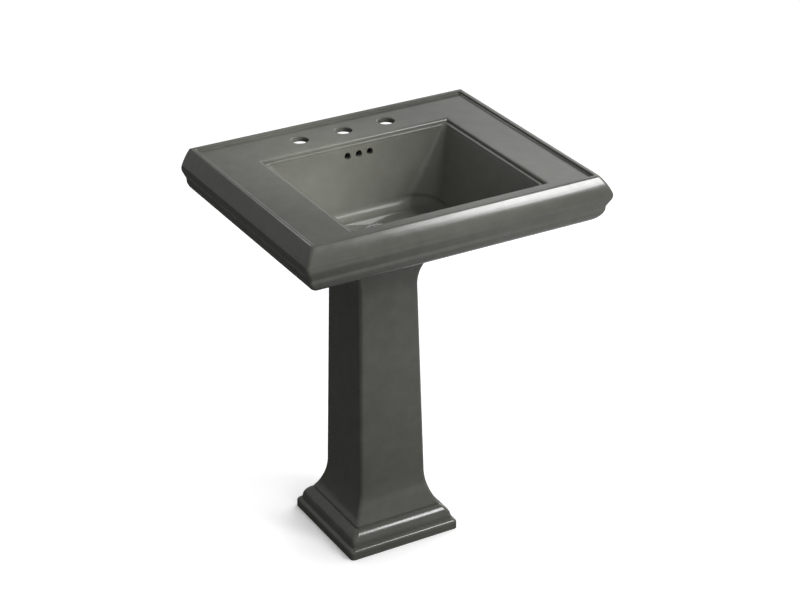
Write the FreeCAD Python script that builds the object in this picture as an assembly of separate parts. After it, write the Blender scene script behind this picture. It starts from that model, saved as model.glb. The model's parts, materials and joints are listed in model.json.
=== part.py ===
import FreeCAD, Part
import math
import os

# Pedestal sink, millimetres. Floor at z = 0, +Y points to the wall, x = 0 is the middle of the sink.
# The origin is on the floor under the centre of the basin.

V = FreeCAD.Vector
Y = V(0, 1, 0)
Z = V(0, 0, 1)

# Overall size: 27 x 22 x 35 inches
INCH = 25.4
HALF_W = 27 * INCH / 2
HALF_D = 22 * INCH / 2
TOP = 35 * INCH

# Basin rim
CHINA = 11.0                    # thickness of the casting
DECK = TOP - 6.0                # deck panel, sunk below the lip
LIP = 33.5                      # foot of the lip, in from the widest line
LIP_SLOPE = 4.0
DECK_BACK = HALF_D - 14.5
BACK_EDGE_R = 2.2
NOSE_Z = TOP - 40.0             # height of the widest line
NOSE_R = 19.0
BROW_R = 121.0                  # flat convex curve from lip to nose
BROW_END = 22.0                 # degrees above the widest line, where brow meets nose
UNDERCUT = 26.5                 # degrees, straight return under the nose
UNDERCUT_Z = TOP - 64.5
FOOT_R = 43.0
FOOT_IN = 51.6                  # centre of the foot curve, in from the widest line
FOOT_START = 17.0
RIM_BOTTOM = TOP - 103.0
CORNER_R = 6.0
CREST_R = 5.0                   # outer edge of the lip

# Bowl
OPEN_X = 222.8
OPEN_FRONT = -226.0
OPEN_BACK = 165.8
BORDER_R = 5.0                  # rounded edge of the stepped border
LEDGE = 5.5
LEDGE_EDGE_R = 2.5
WALL_TOP = DECK - 8.5
BOWL_X = OPEN_X - 13.0
BOWL_FRONT = OPEN_FRONT + 13.0
BOWL_BACK = OPEN_BACK - 13.0
HEEL = 745.0                    # height where the walls curve into the floor
BOWL_CORNER_R = 9.0             # corners of the bowl at its top
HEEL_CORNER_R = 60.0
SIDE_RUN = 58.0                 # how far each wall slopes in above the heel
FRONT_RUN = 118.5
BACK_RUN = 16.0
HEEL_RUN = 46.0                 # how far the heel then curves in
BACK_HEEL_RUN = 24.0
FLOOR = 720.5
DRAIN_Y = 74.0
DRAIN_SEAT = 711.5
DRAIN_HOLE_R = 23.2
BOSS_BOTTOM = 684.0

# Openings of the casting
DUCT_Y = 162.0                  # overflow duct behind the bowl's back wall
DUCT_GAP = 10.0
DUCT_HALF = 37.0
OVERFLOW_LOW = 690.0
SKIRT_BACK = 186.0
FAUCET_PITCH = 4 * INCH
FAUCET_Y = 217.0
FAUCET_R = 17.5
FAUCET_EDGE_R = 2.5
OVERFLOW_PITCH = 26.0
OVERFLOW_Z = 854.5
OVERFLOW_R = 7.3
BOLT_X = 190.0
BOLT_Z = 826.0
BOLT_R = 6.5
BACK_OPEN_HALF = 162.0          # the back is open behind the faucet holes

# Pedestal: square column, half-widths
COL_Y = 97.0
COL_TOP = 705.0
COL_BOTTOM_HALF = 79.5          # at FLARE_Z
COL_TOP_HALF = 70.5             # at CAPITAL_Z
CAPITAL_Z = 588.0               # the shaft starts to widen here
CAPITAL_R = 132.0
TOP_HALF = 124.0
FLARE_Z = 141.0
FLARE_R = 155.0
FASCIA_Z = 60.5
FASCIA = 5.0
OVOLO_HALF = 123.0
OVOLO_Z = 25.0
OVOLO_SAG = 5.5
PLINTH_HALF = 132.0
PLINTH_R = 9.0
PLINTH_TOP = 23.0
COL_WALL = 11.0
COL_CORNER_R = 8.0
BACK_SLOT_HALF = 38.0
BACK_SLOT_Z = 150.0
SCREW_X = 98.0
SCREW_R = 4.5

# Drain and trap
TUBE_R = 1.25 * INCH / 2
TUBE_WALL = 1.0
FLANGE_R = 29.5
BODY_R = 22.2
BODY_BORE = 20.0
CAP_R = 19.0
STEM_R = 3.0
SLIDE_GAP = 0.05
STROKE = 9.0
BODY_NECK = 655.0
BODY_BOTTOM = 632.0
GUIDE_LOW = 656.0
BEND_R = 38.0
BEND_Z = 485.0
INLET_TOP = 548.0
OUTLET_TOP = 515.0
SOCKET_R = 17.6
THREAD_R = 20.0
NUT_FLATS = 23.0                # half the width across flats
WASTE_Z = 555.0
ELBOW_R = 32.0
ESCUTCHEON_R = 38.0


def polar(cx, cz, radius, degrees):
    a = math.radians(degrees)
    return (cx + radius * math.cos(a), cz + radius * math.sin(a))


def arc(cx, cz, radius, start, end, count=7):
    """Points (outward, height) along an arc."""
    return [polar(cx, cz, radius, start + (end - start) * i / (count - 1)) for i in range(count)]


def bulge(start, end, sag, count=7):
    """Points along an arc from start to end that stands out from its chord by sag."""
    dx, dz = end[0] - start[0], end[1] - start[1]
    chord = math.hypot(dx, dz)
    radius = chord ** 2 / 8 / sag + sag / 2
    reach = (radius - sag) / chord
    centre = ((start[0] + end[0]) / 2 - dz * reach, (start[1] + end[1]) / 2 + dx * reach)
    first, last = [math.degrees(math.atan2(z - centre[1], x - centre[0])) for x, z in (start, end)]
    return arc(*centre, radius, first, last, count)


def plan_wire(x0, x1, y0, y1, r, z):
    """Closed rectangle with rounded corners, at height z."""
    edges = []
    corners = [(x1 - r, y0 + r, -90), (x1 - r, y1 - r, 0), (x0 + r, y1 - r, 90), (x0 + r, y0 + r, 180)]
    last = V(x0 + r, y0, z)
    for cx, cy, start in corners:
        p, q, s = [V(*polar(cx, cy, r, start + d), z) for d in (0, 45, 90)]
        edges.append(Part.makeLine(last, p))
        edges.append(Part.Arc(p, q, s).toShape())
        last = s
    return Part.Wire(edges)


def loft(wires):
    return Part.makeLoft(wires, True, len(wires) == 2)


def stack(segments, plan, r):
    """Solid whose outline follows the segments, each a list of (outward offset, height)."""
    x0, x1, y0, y1 = plan
    parts = []
    for points in segments:
        parts.append(loft([plan_wire(x0 - o, x1 + o, y0 - o, y1 + o, r, z) for o, z in points]))
    return parts[0].multiFuse(parts[1:]) if len(parts) > 1 else parts[0]


def box(x0, x1, y0, y1, z0, z1):
    return Part.makeBox(x1 - x0, y1 - y0, z1 - z0, V(x0, y0, z0))


def rod(r, z0, z1, x=0.0, y=DRAIN_Y):
    return Part.makeCylinder(r, z1 - z0, V(x, y, z0), Z)


def ring(r_in, r_out, z0, z1, y=DRAIN_Y):
    return rod(r_out, z0, z1, y=y).cut(rod(r_in, z0 - 1, z1 + 1, y=y))


def turned(points, y=DRAIN_Y):
    """Solid of revolution about the vertical line at y, from (radius, height) points."""
    wire = Part.makePolygon([V(r, y, z) for r, z in points + points[:1]])
    return Part.Face(wire).revolve(V(0, y, 0), Z, 360)


def hexagon(flats, z0, z1, y=DRAIN_Y, chamfer=1.5):
    """Hexagonal prism with chamfered corners, flats being half its width."""
    r = flats / math.cos(math.radians(30))
    points = [V(*polar(0, y, r, 60 * i), z0) for i in range(7)]
    prism = Part.Face(Part.makePolygon(points)).extrude(V(0, 0, z1 - z0))
    side = [(r - chamfer, z0), (r, z0 + chamfer), (r, z1 - chamfer), (r - chamfer, z1)]
    barrel = turned([(0, z0)] + side + [(0, z1)], y)
    return prism.common(barrel)


def pipe(edges, r):
    """Round bar along a chain of edges."""
    start = edges[0].valueAt(edges[0].FirstParameter)
    along = edges[0].tangentAt(edges[0].FirstParameter)
    wire = Part.Wire(Part.makeCircle(r, start, along))
    return Part.Wire(edges).makePipeShell([wire], True, False)


def save(shape, name):
    shape.exportStep("parts/%s.step" % name)


# ---------------------------------------------------------------- basin

def rim_segments(inset, top):
    """Outline of the rim from its top down to its flat underside, inset into the wall."""
    nose_x = -NOSE_R
    brow = BROW_R - NOSE_R
    brow_x, brow_z = polar(nose_x, NOSE_Z, -brow, BROW_END)
    radius = BROW_R - inset
    start = math.degrees(math.asin((top - brow_z) / radius))
    segments = []
    if inset == 0:
        ez = top - CREST_R
        ex = brow_x + math.sqrt((radius - CREST_R) ** 2 - (ez - brow_z) ** 2)
        start = math.degrees(math.atan2(ez - brow_z, ex - brow_x))
        segments.append(arc(ex, ez, CREST_R, 90, start, 4))
    segments.append(arc(brow_x, brow_z, radius, start, BROW_END, 6))
    nose = arc(nose_x, NOSE_Z, NOSE_R - inset, BROW_END, -UNDERCUT, 7)
    run = (nose[-1][1] - UNDERCUT_Z - inset * 0.4) * math.tan(math.radians(UNDERCUT))
    quirk = (nose[-1][0] - run, UNDERCUT_Z + inset * 0.4)
    foot = arc(-FOOT_IN, RIM_BOTTOM + FOOT_R, FOOT_R - inset, -FOOT_START, -90, 8)
    return segments + [nose, [nose[-1], quirk], [quirk, foot[0]], foot]


def bowl_solid(grow, drop):
    """The bowl's space; grow and drop move its surface outward for the outside of the casting."""
    def section(down, curl, z):
        x = BOWL_X - SIDE_RUN * down - HEEL_RUN * curl + grow
        front = BOWL_FRONT + FRONT_RUN * down + HEEL_RUN * curl - grow
        back = BOWL_BACK - BACK_RUN * down - BACK_HEEL_RUN * curl + grow
        corner = BOWL_CORNER_R + (HEEL_CORNER_R - BOWL_CORNER_R) * down - 14 * curl
        return plan_wire(-x, x, front, back, corner + grow, z - drop)

    heel = []
    for i in range(7):
        a = math.radians(15 * i)
        heel.append(section(1, 1 - math.cos(a), HEEL - (HEEL - FLOOR) * math.sin(a)))
    return loft([section(0, 0, WALL_TOP), heel[0]]), loft(heel), heel[-1]


def opening_cuts():
    """Stepped border of the bowl: rounded edge, small drop, flat ledge, rounded edge."""
    ledge_z = WALL_TOP + LEDGE_EDGE_R
    plan = (-OPEN_X, OPEN_X, OPEN_FRONT, OPEN_BACK)
    edge = arc(0, DECK - BORDER_R, BORDER_R, 180, 90, 5)
    upper = stack([[(-BORDER_R, ledge_z), edge[0]], edge, [edge[-1], (0, TOP + 5)]], plan, 1.2)
    inner = arc(-BORDER_R - LEDGE, WALL_TOP, LEDGE_EDGE_R, 180, 90, 4)
    return [upper, stack([inner], plan, BOWL_CORNER_R)]


def deck_cut():
    """The sunk deck panel inside the lip, with a hollow at its foot and a rounded crest."""
    slope = math.degrees(math.atan2(TOP - DECK, LIP_SLOPE))
    hollow = 4.0
    crest = 2.5
    foot = arc(0, DECK + hollow, hollow, -90, -90 + slope, 4)
    top_x = LIP_SLOPE + crest * math.tan(math.radians(slope / 2))
    top = arc(top_x, TOP - crest, crest, 90 + slope, 90, 4)
    plan = (LIP - HALF_W, HALF_W - LIP, LIP - HALF_D, DECK_BACK)
    return stack([foot, [foot[-1], top[0]], top, [top[-1], (top_x, TOP + 5)]], plan, 3.5)


def bowl_cut():
    """Space of the bowl: lofted walls, then a shallow fall of the floor to the drain."""
    wall, heel, floor = bowl_solid(0, 0)
    seat = DRAIN_HOLE_R + 10
    low = plan_wire(-seat, seat, DRAIN_Y - seat, DRAIN_Y + seat, seat - 0.2, DRAIN_SEAT)
    return wall.multiFuse([heel, loft([floor, low])])


def hollow_cut():
    """Space inside the rim, open to the floor below."""
    under = DECK - CHINA
    plan = (-HALF_W, HALF_W, -HALF_D, HALF_D + 80)
    space = stack(rim_segments(CHINA, under), plan, 3.0)
    space = space.common(box(-HALF_W, HALF_W, -HALF_D, HALF_D - CHINA, 0, TOP))
    edge = FOOT_IN + 28
    heights = (RIM_BOTTOM - 20, RIM_BOTTOM + CHINA + 1)
    return space.fuse(box(edge - HALF_W, HALF_W - edge, edge - HALF_D, HALF_D - CHINA, *heights))


def make_basin():
    outline = stack(rim_segments(0, TOP), (-HALF_W, HALF_W, -HALF_D, HALF_D + 80), CORNER_R)
    back = box(-HALF_W - 1, HALF_W + 1, -HALF_D - 1, HALF_D, 0, TOP)
    top_edge = [e for e in back.Edges if e.BoundBox.YMin > HALF_D - 1 and e.BoundBox.ZMin > TOP - 1]
    casting = outline.common(back.makeFillet(BACK_EDGE_R, top_edge)).cut(hollow_cut())

    # Bowl shell, drain boss, overflow duct and the skirt that sits on the pedestal
    wall, heel, floor = bowl_solid(CHINA - 1, CHINA + 4)
    collar = box(-OPEN_X - 6, OPEN_X + 6, OPEN_FRONT - 6, OPEN_BACK + 6, WALL_TOP - 24, DECK - 3)
    boss = rod(DRAIN_HOLE_R + 17, BOSS_BOTTOM, FLOOR)
    duct_back = DUCT_Y + DUCT_GAP + CHINA - 3
    duct = box(-DUCT_HALF - 9, DUCT_HALF + 9, BOWL_BACK - 30, duct_back, BOSS_BOTTOM - 3, DECK - 3)
    under = box(-28, 28, DRAIN_Y, duct_back, BOSS_BOTTOM - 3, FLOOR)
    under = under.cut(rod(DRAIN_HOLE_R + 17, 0, BOSS_BOTTOM))
    duct = duct.cut(box(-200, 200, 0, BOWL_BACK - 6, 0, FLOOR + 6)).fuse(under)
    skirt = box(-TOP_HALF, TOP_HALF, COL_Y - TOP_HALF, SKIRT_BACK, COL_TOP, DECK - 3)
    inner = TOP_HALF - 12
    skirt = skirt.cut(box(-inner, inner, COL_Y - inner, SKIRT_BACK + 1, 0, TOP))
    casting = casting.multiFuse([wall, heel, collar, boss, duct, skirt])

    # Spaces and holes
    cuts = [deck_cut(), bowl_cut(), rod(DRAIN_HOLE_R, 0, TOP)] + opening_cuts()
    cuts.append(box(-DUCT_HALF, DUCT_HALF, DUCT_Y, DUCT_Y + DUCT_GAP, OVERFLOW_LOW, DECK - CHINA - 4))
    cuts.append(box(-17, 17, DRAIN_Y, DUCT_Y + DUCT_GAP, OVERFLOW_LOW, OVERFLOW_LOW + 11))
    mouth_r = FAUCET_R + FAUCET_EDGE_R
    mouth_z = DECK - FAUCET_EDGE_R
    for i in (-1, 0, 1):
        x = i * FAUCET_PITCH
        cuts.append(rod(FAUCET_R, TOP - 50, TOP + 10, x, FAUCET_Y))
        mouth = rod(mouth_r, mouth_z, DECK, x, FAUCET_Y)
        cuts.append(mouth.cut(Part.makeTorus(mouth_r, FAUCET_EDGE_R, V(x, FAUCET_Y, mouth_z), Z)))
        overflow = V(i * OVERFLOW_PITCH, BOWL_BACK - 20, OVERFLOW_Z)
        cuts.append(Part.makeCylinder(OVERFLOW_R, 30, overflow, Y))
    back_open = (HALF_D - CHINA - 1, HALF_D + 1, RIM_BOTTOM - 1, DECK - CHINA - 4)
    cuts.append(box(-BACK_OPEN_HALF, BACK_OPEN_HALF, *back_open))
    for side in (-1, 1):
        bolt = V(side * BOLT_X, HALF_D - 2 * CHINA, BOLT_Z)
        cuts.append(Part.makeCylinder(BOLT_R, 3 * CHINA, bolt, Y))
    for space in cuts:
        casting = casting.cut(space)
    return casting


# ---------------------------------------------------------------- pedestal

def make_pedestal():
    flare_end = math.degrees(math.asin((FLARE_Z - FASCIA_Z) / FLARE_R))
    flare = arc(COL_BOTTOM_HALF + FLARE_R, FLARE_Z, FLARE_R, 180 + flare_end, 180, 7)
    capital_end = math.degrees(math.acos(1 - (TOP_HALF - COL_TOP_HALF) / CAPITAL_R))
    capital = arc(COL_TOP_HALF + CAPITAL_R, CAPITAL_Z, CAPITAL_R, 180, 180 - capital_end, 10)
    face = flare[0][0] + 0.8
    ovolo_top = FASCIA_Z - FASCIA
    ovolo = bulge((OVOLO_HALF, OVOLO_Z), (face + 1, ovolo_top), OVOLO_SAG)
    plinth = arc(PLINTH_HALF - PLINTH_R, PLINTH_TOP - PLINTH_R, PLINTH_R, 0, 75, 6)
    segments = [[(PLINTH_HALF, 0), plinth[0]],
                plinth,
                [(OVOLO_HALF + 0.5, plinth[-1][1]), (OVOLO_HALF, OVOLO_Z)],
                ovolo,
                [(face, ovolo_top), (face, FASCIA_Z)],
                flare,
                [flare[-1], capital[0]],
                capital,
                [(TOP_HALF, capital[-1][1]), (TOP_HALF, COL_TOP)]]
    plan = (0, 0, COL_Y, COL_Y)
    body = stack(segments, plan, COL_CORNER_R)

    inside = [(PLINTH_HALF - 13, -1), (PLINTH_HALF - 20, 40), (flare[0][0] - 14, FASCIA_Z),
              (COL_BOTTOM_HALF - COL_WALL, FLARE_Z), (COL_TOP_HALF - COL_WALL, CAPITAL_Z + 8),
              (COL_TOP_HALF, CAPITAL_Z + 57),
              (TOP_HALF - 26, COL_TOP - 10), (TOP_HALF - 26, COL_TOP + 1)]
    body = body.cut(stack([list(pair) for pair in zip(inside, inside[1:])], plan, 3.0))
    body = body.cut(box(-BACK_SLOT_HALF, BACK_SLOT_HALF, COL_Y, HALF_D, BACK_SLOT_Z, COL_TOP + 1))
    for side in (-1, 1):
        lug = box(-17, 17, -20, 20, 0, 12)
        lug.translate(V(side * (SCREW_X + 4), COL_Y, 0))
        body = body.fuse(lug).cut(rod(SCREW_R, -1, 13, side * SCREW_X, COL_Y))
    return body


# ---------------------------------------------------------------- drain

def make_flange_gasket():
    return ring(BODY_R + 1.2, FLANGE_R - 1.5, DRAIN_SEAT, DRAIN_SEAT + 1)


def make_drain_flange():
    seat = DRAIN_SEAT + 1
    top = seat + 2.5
    mouth = CAP_R + 0.6
    points = [(BODY_BORE - 3.5, seat - 6), (BODY_BORE - 3.5, seat - 14),
              (BODY_BORE, seat - 14), (BODY_BORE, seat), (FLANGE_R, seat),
              (FLANGE_R, seat + 0.7), (FLANGE_R - 1.5, top - 0.6), (FLANGE_R - 4, top),
              (mouth + 1, top), (mouth, top - 0.7), (mouth, seat - 2), (BODY_BORE - 2.4, seat - 4)]
    return turned(points)


def make_drain_body():
    """Tube with four overflow windows, a step down to the tailpiece thread and a ledge for the guide."""
    neck = TUBE_R + 3
    outside = [(BODY_R, DRAIN_SEAT), (BODY_R, BODY_NECK), (neck, BODY_NECK - 4), (neck, BODY_BOTTOM)]
    ledge = [(TUBE_R, BODY_NECK - 4), (BODY_BORE, BODY_NECK)]
    inside = [(TUBE_R, BODY_BOTTOM)] + ledge + [(BODY_BORE, DRAIN_SEAT)]
    body = turned(outside + inside)
    window = box(-60, 60, DRAIN_Y - 7, DRAIN_Y + 7, OVERFLOW_LOW, OVERFLOW_LOW + 7)
    for turn in (0, 90):
        slot = window.copy()
        slot.rotate(V(0, DRAIN_Y, 0), Z, turn)
        body = body.cut(slot)
    return body


def make_stopper_cap():
    top = DRAIN_SEAT + 5
    under = DRAIN_SEAT + 0.5
    turns = [math.radians(a) for a in range(0, 91, 10)]
    dome = [(CAP_R * math.sin(a), top - 2.5 + 2.5 * math.cos(a)) for a in turns]
    cap = turned([(0, under)] + dome + [(CAP_R, under + 0.6), (CAP_R - 0.6, under)])
    return cap.cut(rod(STEM_R, under - 1, under + 1.5))


def make_stopper_seal():
    """Rubber ring under the cap, just clear of the flange's cone."""
    under = DRAIN_SEAT + 0.5
    return ring(STEM_R + 3, CAP_R - 2.5, under - 1.8, under)


def make_stopper_stem():
    """Plunger with a collar below the guide that stops the upward stroke."""
    under = DRAIN_SEAT + 0.5
    stem = rod(STEM_R, GUIDE_LOW - STROKE - 6, under + 1.5)
    return stem.fuse(rod(STEM_R + 1.5, GUIDE_LOW - STROKE - 4, GUIDE_LOW - STROKE - 1))


def make_cartridge_guide():
    """Hub round the plunger, carried by three ribs in a ring on the neck of the drain body."""
    guide = rod(8, GUIDE_LOW, GUIDE_LOW + 22)
    guide = guide.fuse(ring(BODY_BORE - 2, BODY_BORE, GUIDE_LOW, GUIDE_LOW + 8))
    for turn in (30, 150, 270):
        rib = box(0, BODY_BORE - 1, DRAIN_Y - 1.2, DRAIN_Y + 1.2, GUIDE_LOW, GUIDE_LOW + 8)
        rib.rotate(V(0, DRAIN_Y, 0), Z, turn)
        guide = guide.fuse(rib)
    return guide.cut(rod(STEM_R + SLIDE_GAP, GUIDE_LOW - 1, GUIDE_LOW + 23))


def make_cartridge_spring():
    wire_r = 0.6
    low = GUIDE_LOW + 22 + wire_r
    height = DRAIN_SEAT - 2.2 - wire_r - low
    helix = Part.makeHelix(height / 5, height, STEM_R + 2)
    coil = helix.Edges[0]
    start = coil.valueAt(coil.FirstParameter)
    profile = Part.Wire(Part.makeCircle(wire_r, start, coil.tangentAt(coil.FirstParameter)))
    spring = Part.Wire(helix.Edges).makePipeShell([profile], True, True)
    spring.translate(V(0, DRAIN_Y, low))
    return spring


def make_lower_gasket():
    return turned([(BODY_R, BOSS_BOTTOM), (BODY_R + 11, BOSS_BOTTOM), (BODY_R + 6, BOSS_BOTTOM - 8),
                   (BODY_R, BOSS_BOTTOM - 8)])


def make_friction_washer():
    return ring(BODY_R, BODY_R + 9, BOSS_BOTTOM - 9.5, BOSS_BOTTOM - 8)


def make_drain_locknut():
    top = BOSS_BOTTOM - 9.5
    return hexagon(BODY_R + 5, top - 10, top).cut(rod(BODY_R, top - 11, top + 1))


def make_tailpiece():
    return ring(TUBE_R - TUBE_WALL, TUBE_R, BEND_Z + 30, BODY_NECK - 6)


# ---------------------------------------------------------------- trap

def bend_path():
    """Centre line of the J bend, from the inlet collar round to the outlet collar."""
    far = DRAIN_Y + 2 * BEND_R
    lowest = V(0, DRAIN_Y + BEND_R, BEND_Z - BEND_R)
    curve = Part.Arc(V(0, DRAIN_Y, BEND_Z), lowest, V(0, far, BEND_Z)).toShape()
    return [Part.makeLine(V(0, DRAIN_Y, INLET_TOP), V(0, DRAIN_Y, BEND_Z)), curve,
            Part.makeLine(V(0, far, BEND_Z), V(0, far, OUTLET_TOP))]


def make_trap_bend():
    far = DRAIN_Y + 2 * BEND_R
    bend = pipe(bend_path(), SOCKET_R)
    bend = bend.fuse(rod(THREAD_R, INLET_TOP - 15, INLET_TOP))
    bend = bend.fuse(rod(THREAD_R, OUTLET_TOP - 15, OUTLET_TOP, y=far))
    low = BEND_Z - BEND_R - SOCKET_R
    bend = bend.fuse(rod(12, low - 4, low + 8, y=DRAIN_Y + BEND_R))
    bore = pipe(bend_path(), TUBE_R + 0.1)
    return bend.cut(bore).cut(rod(8, low - 5, low + 10, y=DRAIN_Y + BEND_R))


def make_slip_washer(top, y):
    return ring(TUBE_R, THREAD_R, top, top + 3, y)


def make_slip_nut(top, y):
    """Nut on the collar below; its lip presses the washer down."""
    nut = hexagon(NUT_FLATS, top - 13, top + 7, y)
    nut = nut.cut(rod(THREAD_R, top - 14, top + 3, y=y))
    return nut.cut(rod(TUBE_R + 0.4, top, top + 8, y=y))


def make_cleanout_washer():
    low = BEND_Z - BEND_R - SOCKET_R - 4
    return ring(8, 12, low - 1.5, low, DRAIN_Y + BEND_R)


def make_cleanout_plug():
    y = DRAIN_Y + BEND_R
    low = BEND_Z - BEND_R - SOCKET_R - 5.5
    return hexagon(12, low - 6, low, y).fuse(rod(8, low, low + 11, y=y))


def arm_path(start):
    """Centre line of the trap arm: up from the bend, then back to the wall."""
    y = DRAIN_Y + 2 * BEND_R
    lean = ELBOW_R * (1 - math.sqrt(0.5))
    z = WASTE_Z - ELBOW_R
    curve = Part.Arc(V(0, y, z), V(0, y + lean, WASTE_Z - lean), V(0, y + ELBOW_R, WASTE_Z)).toShape()
    return [Part.makeLine(V(0, y, start), V(0, y, z)), curve,
            Part.makeLine(V(0, y + ELBOW_R, WASTE_Z), V(0, HALF_D, WASTE_Z))]


def make_trap_arm():
    path = arm_path(BEND_Z + 8)
    return pipe(path, TUBE_R).cut(pipe(path, TUBE_R - TUBE_WALL))


def make_wall_escutcheon():
    """Shallow dished plate round the arm, flat against the wall."""
    bore = TUBE_R + 0.1
    front = [(bore, 0), (ESCUTCHEON_R, 0), (ESCUTCHEON_R, 1.2), (ESCUTCHEON_R - 3, 4), (bore + 7, 7)]
    collar = [(bore + 4, 11), (bore, 11), (bore, 9.5), (bore + 3.2, 9.5), (bore + 6, 5.6)]
    points = front + collar + [(ESCUTCHEON_R - 3.6, 2.6), (ESCUTCHEON_R - 4.5, 1.2), (bore, 1.2)]
    wire = Part.makePolygon([V(r, -h, 0) for r, h in points + points[:1]])
    plate = Part.Face(wire).revolve(V(0, 0, 0), Y, 360)
    plate.translate(V(0, HALF_D, WASTE_Z))
    return plate


if __name__ == "__main__":
    os.makedirs("parts", exist_ok=True)
    outlet_y = DRAIN_Y + 2 * BEND_R
    save(make_basin(), "basin")
    save(make_pedestal(), "pedestal")
    save(make_flange_gasket(), "flange_gasket")
    save(make_drain_flange(), "drain_flange")
    save(make_drain_body(), "drain_body")
    save(make_stopper_cap(), "stopper_cap")
    save(make_stopper_seal(), "stopper_seal")
    save(make_stopper_stem(), "stopper_stem")
    save(make_cartridge_guide(), "cartridge_guide")
    save(make_cartridge_spring(), "cartridge_spring")
    save(make_lower_gasket(), "lower_gasket")
    save(make_friction_washer(), "friction_washer")
    save(make_drain_locknut(), "drain_locknut")
    save(make_tailpiece(), "tailpiece")
    save(make_slip_washer(INLET_TOP, DRAIN_Y), "inlet_slip_washer")
    save(make_slip_nut(INLET_TOP, DRAIN_Y), "inlet_slip_nut")
    save(make_trap_bend(), "trap_bend")
    save(make_cleanout_washer(), "cleanout_washer")
    save(make_cleanout_plug(), "cleanout_plug")
    save(make_slip_washer(OUTLET_TOP, outlet_y), "union_washer")
    save(make_slip_nut(OUTLET_TOP, outlet_y), "union_nut")
    save(make_trap_arm(), "trap_arm")
    save(make_wall_escutcheon(), "wall_escutcheon")
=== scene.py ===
import json
import math

import bpy
from mathutils import Matrix, Vector

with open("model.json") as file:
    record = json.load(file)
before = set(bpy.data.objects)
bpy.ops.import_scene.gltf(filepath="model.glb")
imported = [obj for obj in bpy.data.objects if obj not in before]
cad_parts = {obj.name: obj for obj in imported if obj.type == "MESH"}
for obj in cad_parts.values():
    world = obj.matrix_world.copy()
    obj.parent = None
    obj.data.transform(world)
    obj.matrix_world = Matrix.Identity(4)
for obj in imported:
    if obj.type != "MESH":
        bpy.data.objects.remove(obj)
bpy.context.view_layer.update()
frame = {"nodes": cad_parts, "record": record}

NODES = frame["nodes"]

# Camera: position in metres, and the direction it looks in, in degrees
CAMERA_AT = (-1.9996, -3.5743, 2.6829)
CAMERA_YAW = 29.35
CAMERA_PITCH = -27.16
CAMERA_ROLL = -0.43
CAMERA_LENS = 100.2

# Glaze
GLAZE_DARK = (0.085, 0.086, 0.074)
GLAZE = (0.095, 0.096, 0.083)
GLAZE_PALE = (0.104, 0.105, 0.091)
SPECK = (0.72, 0.72, 0.72)      # how much darker the specks are
WHITE = (1, 1, 1)
GLAZE_IOR = 1.52
GLAZE_ROUGH = (0.13, 0.19)
BOWL_ROUGH = 0.34               # the glaze inside the bowl has lost some of its shine

# Box round the bowl's inside, metres
BOWL_MIDDLE = (0.0, -0.026, 0.79)
BOWL_HALF = (0.214, 0.184, 0.084)

# Floor
FLOOR_HALF = 14
FLOOR_GLOW = 0.52
# painted shadow on the floor beside the base: ambient occlusion dims the floor's glow there
SHADE_GLOW = 0.12               # what is left of the glow close beside the base
SHADE_REACH = 0.22
SHADE_SIDE = (0.66, 0.25, 0.71)     # the side the light comes from, for the painted shadow beside the base
FLAG_LEFT = 0.10                # grey of the floor in the glaze, left of the middle
FLAG_RIGHT = 0.60               # and from FLAG_WIDTH metres to the right of it
FLAG_WIDTH = 0.6

# Room
PALE_SIDE = (0.84, 0.48, 0.26)      # where the room is pale
PALE_FROM = 0.83                # cosine of the angle from PALE_SIDE where it starts to get paler
PALE_TO = 0.97                  # and where it is palest
ROOM = 0.38
PALE = 2.2
PANEL_CORE = 0.2                # share of a panel's width that is at full strength


# ---------------------------------------------------------------- materials

def new_material(name):
    m = bpy.data.materials.new(name)
    m.use_nodes = True
    return m, m.node_tree, m.node_tree.nodes["Principled BSDF"]


def noise(tree, scale, detail=2.0, rough=0.5, stretch=(1, 1, 1)):
    """Noise in the object's own coordinates, in metres."""
    coords = tree.nodes.new("ShaderNodeTexCoord")
    mapping = tree.nodes.new("ShaderNodeMapping")
    mapping.inputs["Scale"].default_value = stretch
    tex = tree.nodes.new("ShaderNodeTexNoise")
    tex.inputs["Scale"].default_value = scale
    tex.inputs["Detail"].default_value = detail
    tex.inputs["Roughness"].default_value = rough
    tree.links.new(coords.outputs["Object"], mapping.inputs["Vector"])
    tree.links.new(mapping.outputs["Vector"], tex.inputs["Vector"])
    return tex


def ramp(tree, source, stops):
    """Colour ramp; stops are pairs of place and colour."""
    node = tree.nodes.new("ShaderNodeValToRGB")
    while len(node.color_ramp.elements) < len(stops):
        node.color_ramp.elements.new(0.5)
    for element, (at, colour) in zip(node.color_ramp.elements, stops):
        element.position = at
        element.color = (*colour, 1)
    tree.links.new(source, node.inputs["Fac"])
    return node


def span(tree, source, low, high, out_low, out_high):
    """Carries the range low..high over to out_low..out_high, and stops at its ends."""
    node = tree.nodes.new("ShaderNodeMapRange")
    node.inputs["From Min"].default_value = low
    node.inputs["From Max"].default_value = high
    node.inputs["To Min"].default_value = out_low
    node.inputs["To Max"].default_value = out_high
    tree.links.new(source, node.inputs["Value"])
    return node


def bump(tree, shader, height, strength, distance):
    """Adds a bump on top of any that the shader has already."""
    node = tree.nodes.new("ShaderNodeBump")
    node.inputs["Strength"].default_value = strength
    node.inputs["Distance"].default_value = distance
    tree.links.new(height, node.inputs["Height"])
    for link in shader.inputs["Normal"].links:
        tree.links.new(link.from_socket, node.inputs["Normal"])
    tree.links.new(node.outputs["Normal"], shader.inputs["Normal"])


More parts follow.
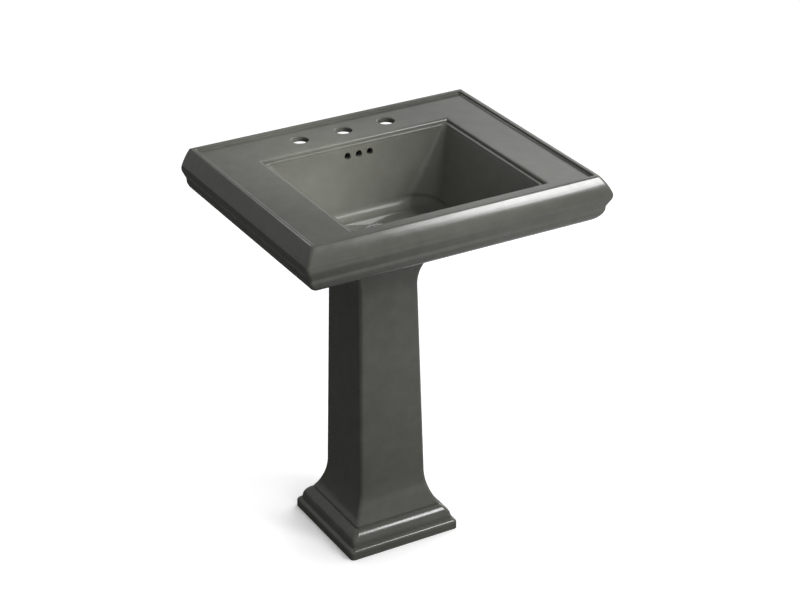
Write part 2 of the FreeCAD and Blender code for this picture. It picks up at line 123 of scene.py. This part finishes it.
def bowl_mask(tree):
    """Below 1 inside the bowl, above 1 on the rest of the sink."""
    place = tree.nodes.new("ShaderNodeTexCoord")
    shift = tree.nodes.new("ShaderNodeVectorMath")
    shift.operation = "SUBTRACT"
    shift.inputs[1].default_value = BOWL_MIDDLE
    tree.links.new(place.outputs["Object"], shift.inputs[0])
    scale = tree.nodes.new("ShaderNodeVectorMath")
    scale.operation = "DIVIDE"
    scale.inputs[1].default_value = BOWL_HALF
    tree.links.new(shift.outputs["Vector"], scale.inputs[0])
    size = tree.nodes.new("ShaderNodeVectorMath")
    size.operation = "ABSOLUTE"
    tree.links.new(scale.outputs["Vector"], size.inputs[0])
    split = tree.nodes.new("ShaderNodeSeparateXYZ")
    tree.links.new(size.outputs["Vector"], split.inputs["Vector"])
    widest = split.outputs["X"]
    for axis in ("Y", "Z"):
        more = tree.nodes.new("ShaderNodeMath")
        more.operation = "MAXIMUM"
        tree.links.new(widest, more.inputs[0])
        tree.links.new(split.outputs[axis], more.inputs[1])
        widest = more.outputs["Value"]
    return widest


def glaze_material():
    """Dark grey-green glaze on china: faint mottling, specks, a slow ripple and long level streaks."""
    m, tree, shader = new_material("glaze")
    mottle = noise(tree, 26, 5, 0.6)
    colour = ramp(tree, mottle.outputs["Fac"], [(0.30, GLAZE_DARK), (0.55, GLAZE), (0.75, GLAZE_PALE)])
    fine = noise(tree, 900, 2)
    specks = ramp(tree, fine.outputs["Fac"], [(0.66, WHITE), (0.78, SPECK)])
    tint = tree.nodes.new("ShaderNodeMix")
    tint.data_type = "RGBA"
    tint.blend_type = "MULTIPLY"
    tint.inputs["Factor"].default_value = 1.0
    tree.links.new(colour.outputs["Color"], tint.inputs["A"])
    tree.links.new(specks.outputs["Color"], tint.inputs["B"])
    tree.links.new(tint.outputs["Result"], shader.inputs["Base Color"])
    gloss = span(tree, noise(tree, 70, 3).outputs["Fac"], 0.3, 0.7, *GLAZE_ROUGH)
    worn = span(tree, bowl_mask(tree), 0.97, 1.0, BOWL_ROUGH, 0.0)
    rough = tree.nodes.new("ShaderNodeMath")
    rough.operation = "MAXIMUM"
    tree.links.new(worn.outputs["Result"], rough.inputs[0])
    tree.links.new(gloss.outputs["Result"], rough.inputs[1])
    tree.links.new(rough.outputs["Value"], shader.inputs["Roughness"])
    shader.inputs["IOR"].default_value = GLAZE_IOR
    ripple = noise(tree, 9, 2)
    bump(tree, shader, ripple.outputs["Fac"], 0.12, 0.002)
    streaks = noise(tree, 6, 3, 0.55, (0.5, 0.5, 22))
    bump(tree, shader, streaks.outputs["Fac"], 0.22, 0.001)
    grain = noise(tree, 420, 2)
    bump(tree, shader, grain.outputs["Fac"], 0.05, 0.0002)
    return m


def metal_material(name, colour, rough_low, rough_high, scale=120, stretch=(1, 1, 1), strength=0.04):
    m, tree, shader = new_material(name)
    shader.inputs["Metallic"].default_value = 1.0
    dark = tuple(c * 0.9 for c in colour)
    grain = noise(tree, scale, 4, 0.6, stretch)
    tint = ramp(tree, grain.outputs["Fac"], [(0.3, dark), (0.7, colour)])
    tree.links.new(tint.outputs["Color"], shader.inputs["Base Color"])
    gloss = span(tree, grain.outputs["Fac"], 0.3, 0.7, rough_low, rough_high)
    tree.links.new(gloss.outputs["Result"], shader.inputs["Roughness"])
    bump(tree, shader, grain.outputs["Fac"], strength, 0.0003)
    return m


def matt_material(name, light, dark, rough_low, rough_high, scale=300):
    m, tree, shader = new_material(name)
    grain = noise(tree, scale, 5, 0.65)
    tint = ramp(tree, grain.outputs["Fac"], [(0.3, dark), (0.7, light)])
    tree.links.new(tint.outputs["Color"], shader.inputs["Base Color"])
    gloss = span(tree, grain.outputs["Fac"], 0.3, 0.7, rough_low, rough_high)
    tree.links.new(gloss.outputs["Result"], shader.inputs["Roughness"])
    bump(tree, shader, grain.outputs["Fac"], 0.15, 0.0004)
    return m


MATERIALS = {
    "glaze": glaze_material(),
    "chrome": metal_material("chrome", (0.86, 0.87, 0.88), 0.22, 0.30),
    "brass": metal_material("brass", (0.74, 0.56, 0.28), 0.22, 0.38, 260, (1, 1, 8), 0.2),
    "rubber": matt_material("rubber", (0.035, 0.035, 0.036), (0.018, 0.018, 0.019), 0.55, 0.75),
    "plastic": matt_material("plastic", (0.80, 0.79, 0.75), (0.70, 0.69, 0.65), 0.38, 0.5),
    "steel": metal_material("steel", (0.62, 0.62, 0.63), 0.2, 0.35, 400, (1, 1, 6), 0.2),
}
for part in frame["record"]["subparts"]:
    mesh = NODES[part["node"]].data
    mesh.materials.clear()
    mesh.materials.append(MATERIALS[part["material_slot"]])


# ---------------------------------------------------------------- studio

def make_floor():
    """White floor, glowing a little, with the glow dimmed beside the base as a painted shadow. The
    glaze sees it darker, and darkest on the left, as if black flags lay there.
    """
    m, tree, shader = new_material("studio_floor")
    cloud = noise(tree, 3)
    tint = ramp(tree, cloud.outputs["Fac"], [(0.3, (0.88, 0.88, 0.88)), (0.7, (0.9, 0.9, 0.9))])
    tree.links.new(tint.outputs["Color"], shader.inputs["Base Color"])
    shader.inputs["Roughness"].default_value = 0.8
    shader.inputs["Emission Color"].default_value = (1, 1, 1, 1)
    # painted shadow: ambient occlusion, turned towards SHADE_SIDE, dims the floor's glow beside the
    # base
    toward = tree.nodes.new("ShaderNodeCombineXYZ")
    for axis, part in zip("XYZ", SHADE_SIDE):
        toward.inputs[axis].default_value = part
    shade = tree.nodes.new("ShaderNodeAmbientOcclusion")
    shade.inputs["Distance"].default_value = SHADE_REACH
    tree.links.new(toward.outputs["Vector"], shade.inputs["Normal"])
    glow = span(tree, shade.outputs["AO"], 0.35, 0.95, SHADE_GLOW, FLOOR_GLOW)
    tree.links.new(glow.outputs["Result"], shader.inputs["Emission Strength"])
    place = tree.nodes.new("ShaderNodeTexCoord")
    split = tree.nodes.new("ShaderNodeSeparateXYZ")
    tree.links.new(place.outputs["Object"], split.inputs["Vector"])
    grey = span(tree, split.outputs["X"], 0.0, FLAG_WIDTH, FLAG_LEFT, FLAG_RIGHT)
    flag = tree.nodes.new("ShaderNodeBsdfDiffuse")
    tree.links.new(grey.outputs["Result"], flag.inputs["Color"])
    ray = tree.nodes.new("ShaderNodeLightPath")
    mix = tree.nodes.new("ShaderNodeMixShader")
    tree.links.new(ray.outputs["Is Camera Ray"], mix.inputs["Fac"])
    tree.links.new(flag.outputs["BSDF"], mix.inputs[1])
    tree.links.new(shader.outputs["BSDF"], mix.inputs[2])
    tree.links.new(mix.outputs["Shader"], tree.nodes["Material Output"].inputs["Surface"])
    mesh = bpy.data.meshes.new("studio_floor")
    s = FLOOR_HALF
    mesh.from_pydata([(-s, -s, 0), (s, -s, 0), (s, s, 0), (-s, s, 0)], [], [(0, 1, 2, 3)])
    mesh.materials.append(m)
    floor = bpy.data.objects.new("studio_floor", mesh)
    bpy.context.scene.collection.objects.link(floor)


def soft_edges(light):
    """Fades a panel from full strength near its middle to nothing at its rim."""
    light.use_nodes = True
    tree = light.node_tree
    place = tree.nodes.new("ShaderNodeNewGeometry")
    middle = tree.nodes.new("ShaderNodeVectorMath")
    middle.operation = "DISTANCE"
    middle.inputs[1].default_value = (0.5, 0.5, 0)
    tree.links.new(place.outputs["Parametric"], middle.inputs[0])
    fade = span(tree, middle.outputs["Value"], PANEL_CORE, 0.5, 1.0, 0.0)
    fade.interpolation_type = "SMOOTHSTEP"
    tree.links.new(fade.outputs["Result"], tree.nodes["Emission"].inputs["Strength"])


def hang(light, at, aim, mirrored):
    """Puts a lamp in the scene, turned to aim. A lamp that isn't mirrored leaves no highlight."""
    lamp = bpy.data.objects.new(light.name, light)
    lamp.location = at
    lamp.rotation_euler = (Vector(aim) - Vector(at)).to_track_quat("-Z", "Y").to_euler()
    lamp.visible_glossy = mirrored
    bpy.context.scene.collection.objects.link(lamp)


def make_panel(name, at, aim, size, power, mirrored=True):
    light = bpy.data.lights.new(name, "AREA")
    light.shape = "RECTANGLE"
    light.size, light.size_y = size
    light.energy = power
    soft_edges(light)
    hang(light, at, aim, mirrored)


def make_spot(name, at, aim, power, degrees, blend, radius, mirrored=True):
    light = bpy.data.lights.new(name, "SPOT")
    light.energy = power
    light.spot_size = math.radians(degrees)
    light.spot_blend = blend
    light.shadow_soft_size = radius
    hang(light, at, aim, mirrored)


def make_world():
    """Dim room with one paler side, low down behind the sink to its right."""
    world = bpy.data.worlds.new("studio")
    bpy.context.scene.world = world
    world.use_nodes = True
    tree = world.node_tree
    coords = tree.nodes.new("ShaderNodeTexCoord")
    toward = tree.nodes.new("ShaderNodeVectorMath")
    toward.operation = "DOT_PRODUCT"
    toward.inputs[1].default_value = Vector(PALE_SIDE).normalized()
    tree.links.new(coords.outputs["Generated"], toward.inputs[0])
    glow = span(tree, toward.outputs["Value"], PALE_FROM, PALE_TO, ROOM, PALE)
    glow.interpolation_type = "SMOOTHSTEP"
    tree.links.new(glow.outputs["Result"], tree.nodes["Background"].inputs["Strength"])
    tree.nodes["Background"].inputs["Color"].default_value = (1, 1, 1, 1)


def make_camera():
    cam = bpy.data.cameras.new("camera")
    cam.sensor_width = 36
    cam.lens = CAMERA_LENS
    cam.clip_end = 60
    yaw, pitch, roll = (math.radians(a) for a in (CAMERA_YAW, CAMERA_PITCH, CAMERA_ROLL))
    ahead = Vector((math.sin(yaw) * math.cos(pitch), math.cos(yaw) * math.cos(pitch), math.sin(pitch)))
    level = Vector((math.cos(yaw), -math.sin(yaw), 0))
    up = level.cross(ahead)
    right = level * math.cos(roll) + up * math.sin(roll)
    top = up * math.cos(roll) - level * math.sin(roll)
    seen = bpy.data.objects.new("camera", cam)
    axes = Matrix((right, top, -ahead)).transposed().to_4x4()
    seen.matrix_world = Matrix.Translation(CAMERA_AT) @ axes
    bpy.context.scene.collection.objects.link(seen)
    bpy.context.scene.camera = seen


make_floor()
make_world()
make_panel("key", (2.05, -2.3, 2.95), (0.1, 0, 0.6), (1.6, 1.7), 165)
make_panel("rim", (0.35, 2.6, 2.9), (0, 0, 0.8), (1.1, 0.4), 8)
make_panel("front", (0.3, -3.2, 2.0), (0, 0, 0.4), (2.6, 1.8), 94, mirrored=False)
make_spot("bowl", (1.15, -1.6, 2.4), (-0.12, 0.13, 0.80), 760, 8, 0.8, 0.16, mirrored=False)
make_camera()
bpy.context.scene.view_settings.view_transform = "Standard"
